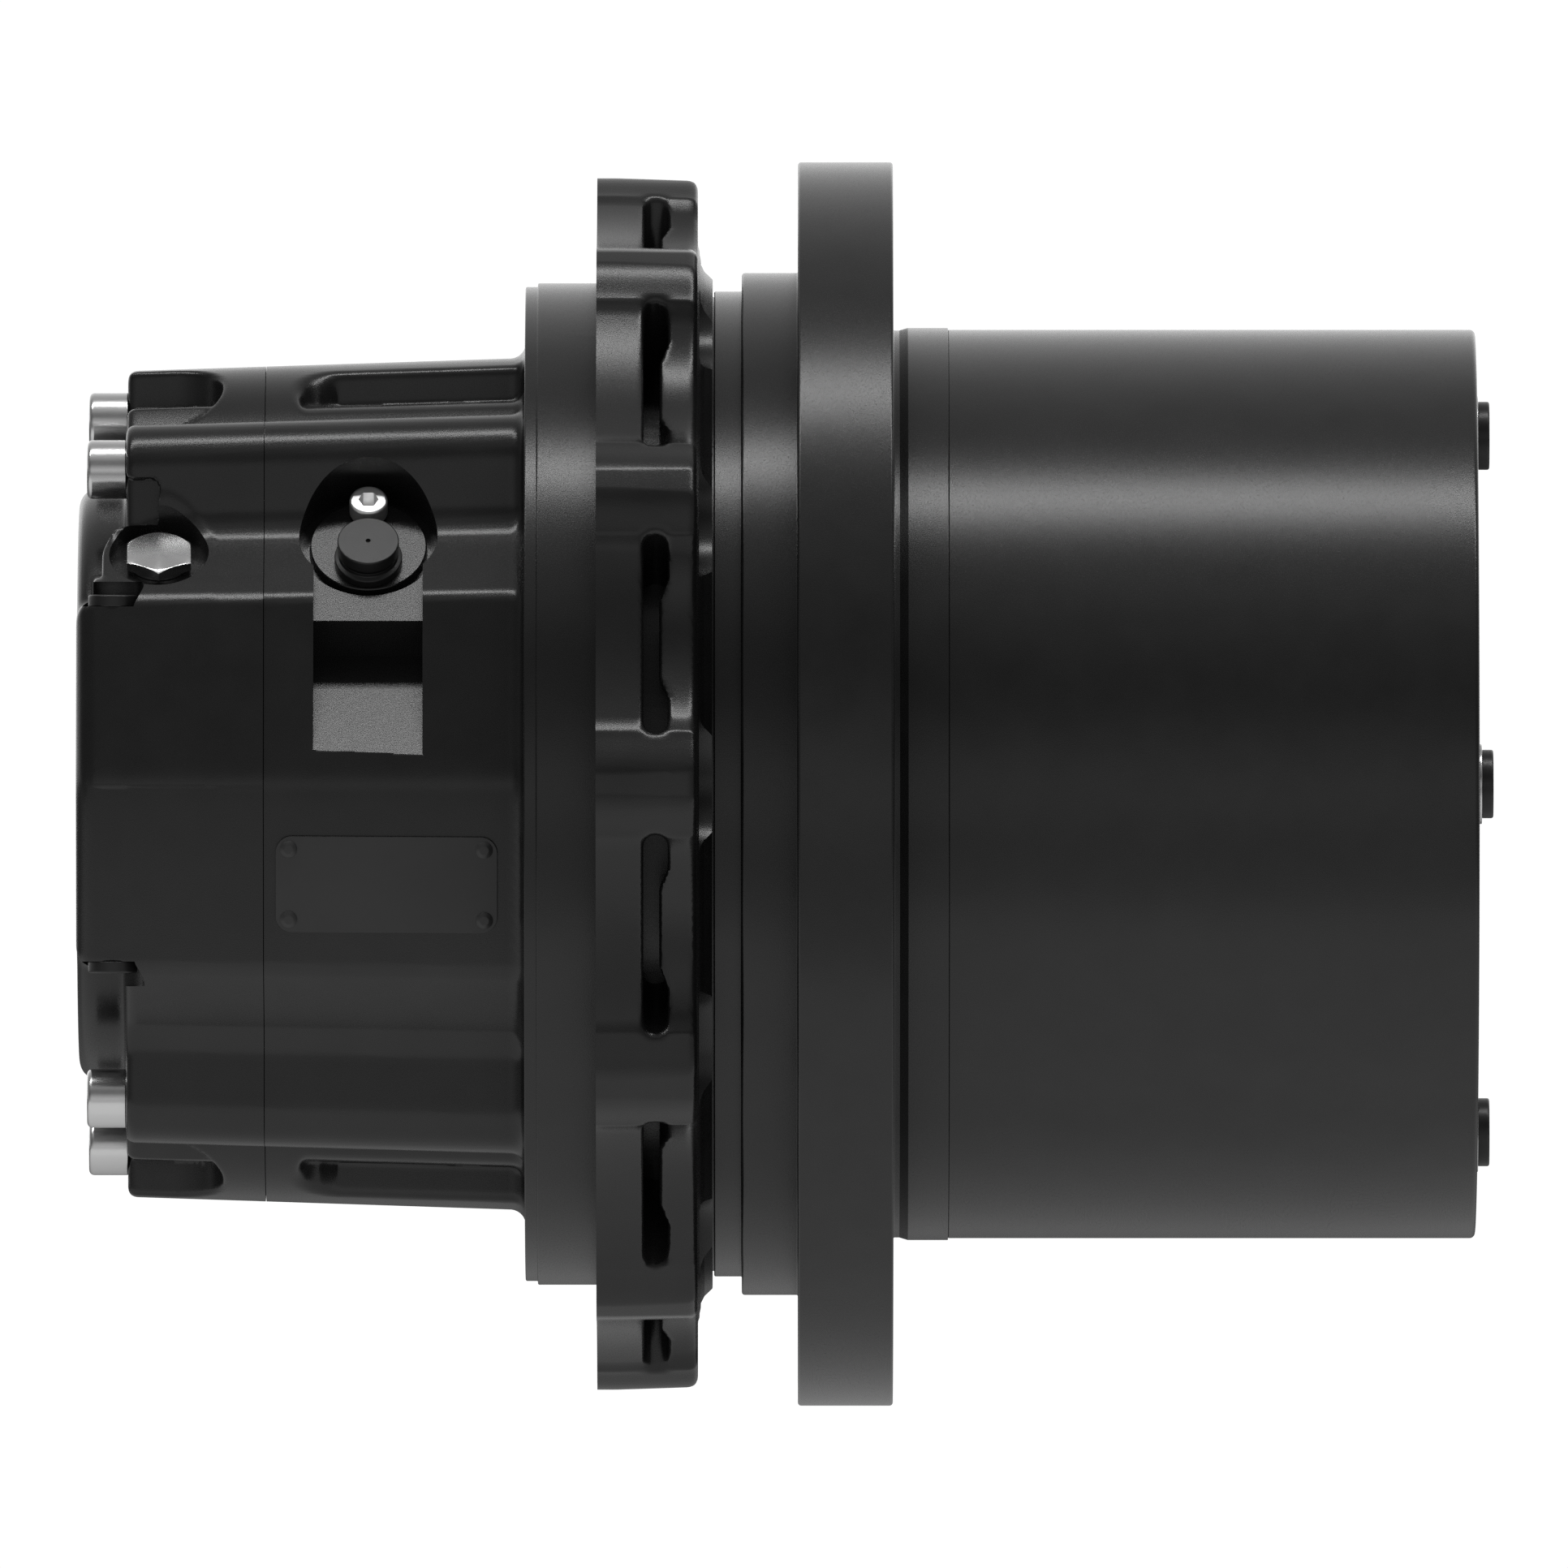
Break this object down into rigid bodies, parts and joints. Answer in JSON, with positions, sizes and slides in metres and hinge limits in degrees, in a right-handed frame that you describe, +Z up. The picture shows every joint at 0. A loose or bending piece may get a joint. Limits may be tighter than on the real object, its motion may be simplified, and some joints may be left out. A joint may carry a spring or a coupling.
{
  "type": "planetary track drive",
  "caption": "Hydraulic track drive: piston motor in a cast housing with a lug flange, turning a sprocket hub and drum through a two-stage planetary gearbox.",
  "frame": {"origin": "on the axis of rotation, in the face of the lug flange that seats on the frame", "axes": "+X along the axis from the motor to the drum, +Z up, -Y the side with the nameplate and the sensor port"},
  "size_m": [0.4342, 0.383, 0.383],
  "materials": {
    "cast_paint": "satin black paint on a sand casting",
    "turned_paint": "satin black paint on turned steel",
    "plate_paint": "satin black",
    "plug_black": "black oxide",
    "zinc": "bright zinc plate",
    "gear_steel": "case-hardened and ground",
    "ground_steel": "ground",
    "bronze": "machined",
    "rubber": "matte",
    "seal_rubber": "matte"
  },
  "bodies": {
    "frame_side": {"motor_housing": "cast_paint", "motor_end_cover": "cast_paint", "end_cover_seal": "rubber", "end_cover_screws": "zinc", "gauge_plug": "zinc", "gauge_plug_washer": "zinc", "pad_plugs": "plate_paint", "sensor_plug": "plate_paint", "sensor_plug_ring": "rubber", "sensor_plug_screw": "zinc", "nameplate": "plate_paint", "nameplate_rivets": "plate_paint", "valve_plate": "bronze", "swash_plate": "gear_steel", "shaft_rear_bearing": "ground_steel", "shaft_front_bearing": "ground_steel", "shaft_seal": "seal_rubber", "brake_springs": "ground_steel", "brake_separators": "gear_steel", "carrier_2": "gear_steel", "planet_pins_2": "ground_steel", "carrier_2_bolts": "ground_steel", "carrier_2_dowels": "ground_steel", "bearing_inner_races": "ground_steel", "face_seal_fixed_ring": "ground_steel", "face_seal_fixed_toric": "rubber"},
    "brake_piston": {"brake_piston": "ground_steel"},
    "input_line": {"cylinder_block": "gear_steel", "block_spring": "ground_steel", "pistons": "ground_steel", "piston_slippers": "bronze", "slipper_retainer": "gear_steel", "brake_friction_discs": "bronze", "motor_shaft": "ground_steel", "shaft_coupling": "gear_steel", "sun_gear_1": "gear_steel"},
    "carrier_1": {"carrier_1": "gear_steel", "planet_pins_1": "ground_steel", "sun_gear_2": "gear_steel"},
    "planet_1a": {"planet_gear_1a": "gear_steel"},
    "planet_1b": {"planet_gear_1b": "gear_steel"},
    "planet_1c": {"planet_gear_1c": "gear_steel"},
    "planet_2a": {"planet_gear_2a": "gear_steel"},
    "planet_2b": {"planet_gear_2b": "gear_steel"},
    "planet_2c": {"planet_gear_2c": "gear_steel"},
    "planet_2d": {"planet_gear_2d": "gear_steel"},
    "bearing_rollers": {"bearing_balls": "ground_steel", "bearing_cages": "bronze"},
    "gear_case": {"sprocket_hub": "turned_paint", "ring_gear_drum": "turned_paint", "drum_dowels": "ground_steel", "drum_end_cover": "turned_paint", "drum_cover_oring": "rubber", "drum_cover_lock_ring": "ground_steel", "oil_plugs": "plug_black", "oil_plug_washers": "zinc", "thrust_pads": "bronze", "bearing_outer_races": "ground_steel", "face_seal_turning_ring": "ground_steel", "face_seal_turning_toric": "rubber"}
  },
  "joints": [
    {"name": "output_spin", "type": "hinge", "parent": "frame_side", "child": "gear_case", "pos_m": [0, 0, 0], "axis": [1, 0, 0], "continuous": true},
    {"name": "input_spin", "type": "hinge", "parent": "frame_side", "child": "input_line", "pos_m": [0, 0, 0], "axis": [1, 0, 0], "continuous": true},
    {"name": "carrier_1_spin", "type": "hinge", "parent": "frame_side", "child": "carrier_1", "pos_m": [0, 0, 0], "axis": [1, 0, 0], "continuous": true},
    {"name": "bearing_spin", "type": "hinge", "parent": "frame_side", "child": "bearing_rollers", "pos_m": [0, 0, 0], "axis": [1, 0, 0], "continuous": true},
    {"name": "planet_1a_spin", "type": "hinge", "parent": "carrier_1", "child": "planet_1a", "pos_m": [0.206, 0, 0.07312], "axis": [1, 0, 0], "continuous": true},
    {"name": "planet_1b_spin", "type": "hinge", "parent": "carrier_1", "child": "planet_1b", "pos_m": [0.206, -0.06333, -0.03656], "axis": [1, 0, 0], "continuous": true},
    {"name": "planet_1c_spin", "type": "hinge", "parent": "carrier_1", "child": "planet_1c", "pos_m": [0.206, 0.06333, -0.03656], "axis": [1, 0, 0], "continuous": true},
    {"name": "planet_2a_spin", "type": "hinge", "parent": "frame_side", "child": "planet_2a", "pos_m": [0.144, 0.07875, 0], "axis": [1, 0, 0], "continuous": true},
    {"name": "planet_2b_spin", "type": "hinge", "parent": "frame_side", "child": "planet_2b", "pos_m": [0.144, 0, 0.07875], "axis": [1, 0, 0], "continuous": true},
    {"name": "planet_2c_spin", "type": "hinge", "parent": "frame_side", "child": "planet_2c", "pos_m": [0.144, -0.07875, 0], "axis": [1, 0, 0], "continuous": true},
    {"name": "planet_2d_spin", "type": "hinge", "parent": "frame_side", "child": "planet_2d", "pos_m": [0.144, 0, -0.07875], "axis": [1, 0, 0], "continuous": true},
    {"name": "brake_release", "type": "slide", "parent": "frame_side", "child": "brake_piston", "axis": [-1, 0, 0], "range_m": [0, 0.0007]}
  ],
  "couplings": [
    {"joint": "input_spin", "follows": "output_spin", "ratio": -19.8},
    {"joint": "carrier_1_spin", "follows": "output_spin", "ratio": -3},
    {"joint": "bearing_spin", "follows": "output_spin", "ratio": 0.5369},
    {"joint": "planet_1a_spin", "follows": "output_spin", "ratio": 10.5},
    {"joint": "planet_1b_spin", "follows": "output_spin", "ratio": 10.5},
    {"joint": "planet_1c_spin", "follows": "output_spin", "ratio": 10.5},
    {"joint": "planet_2a_spin", "follows": "output_spin", "ratio": 3},
    {"joint": "planet_2b_spin", "follows": "output_spin", "ratio": 3},
    {"joint": "planet_2c_spin", "follows": "output_spin", "ratio": 3},
    {"joint": "planet_2d_spin", "follows": "output_spin", "ratio": 3}
  ]
}
